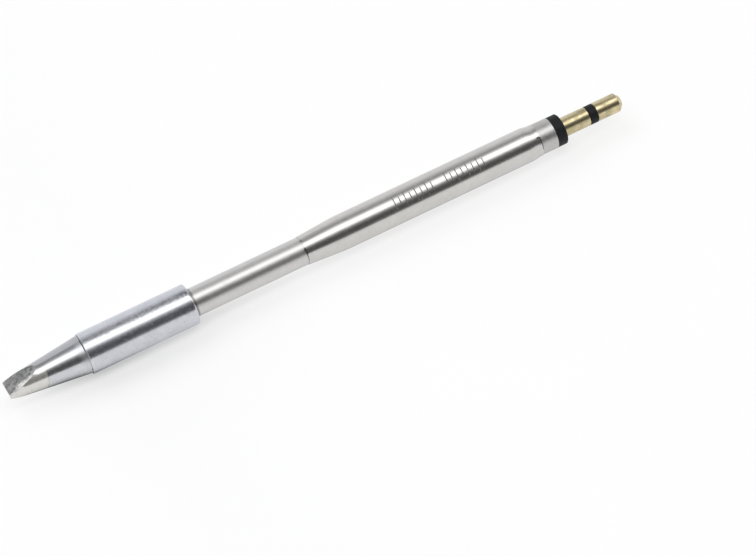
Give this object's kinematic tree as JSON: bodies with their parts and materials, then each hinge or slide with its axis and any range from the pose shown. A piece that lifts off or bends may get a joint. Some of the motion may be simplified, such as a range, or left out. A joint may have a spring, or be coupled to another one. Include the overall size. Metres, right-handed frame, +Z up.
{
  "type": "soldering iron tip",
  "caption": "Cartridge soldering tip: chisel bit on a plated heater barrel, slim neck, wider body tube, collar, black insulators and rear contacts.",
  "frame": {"origin": "bottom centre of the bounding box, on the surface that the tip lies on", "axes": "+X along the tip from the chisel to the contacts, +Z up and square to the chisel's flats, +Y along the chisel's edge"},
  "size_m": [0.1026, 0.0064, 0.0064],
  "materials": {
    "bit_plating": "tinned working end, bright plating behind",
    "barrel_plating": "bright plating",
    "tube_steel": "drawn stainless, satin",
    "collar_steel": "drawn stainless, satin",
    "insulator_black": "matt",
    "contact_metal": "plated, semi-bright",
    "ceramic": "unglazed",
    "heater_wire": "dull wire"
  },
  "bodies": {
    "root": {"bit": "bit_plating", "heater_barrel": "barrel_plating", "neck_tube": "tube_steel", "body_tube": "tube_steel", "rear_collar": "collar_steel", "front_insulator": "insulator_black", "rear_insulator": "insulator_black", "ring_contact": "contact_metal", "end_contact": "contact_metal", "heater_sleeve": "ceramic", "heater_core": "ceramic", "neck_bead_front": "ceramic", "neck_bead_rear": "ceramic", "body_bead_front": "ceramic", "body_bead_middle": "ceramic", "body_bead_rear": "ceramic", "heater_coil": "heater_wire", "heater_lead": "heater_wire", "sensor_wire": "heater_wire", "sensor_bead": "heater_wire"}
  },
  "joints": []
}
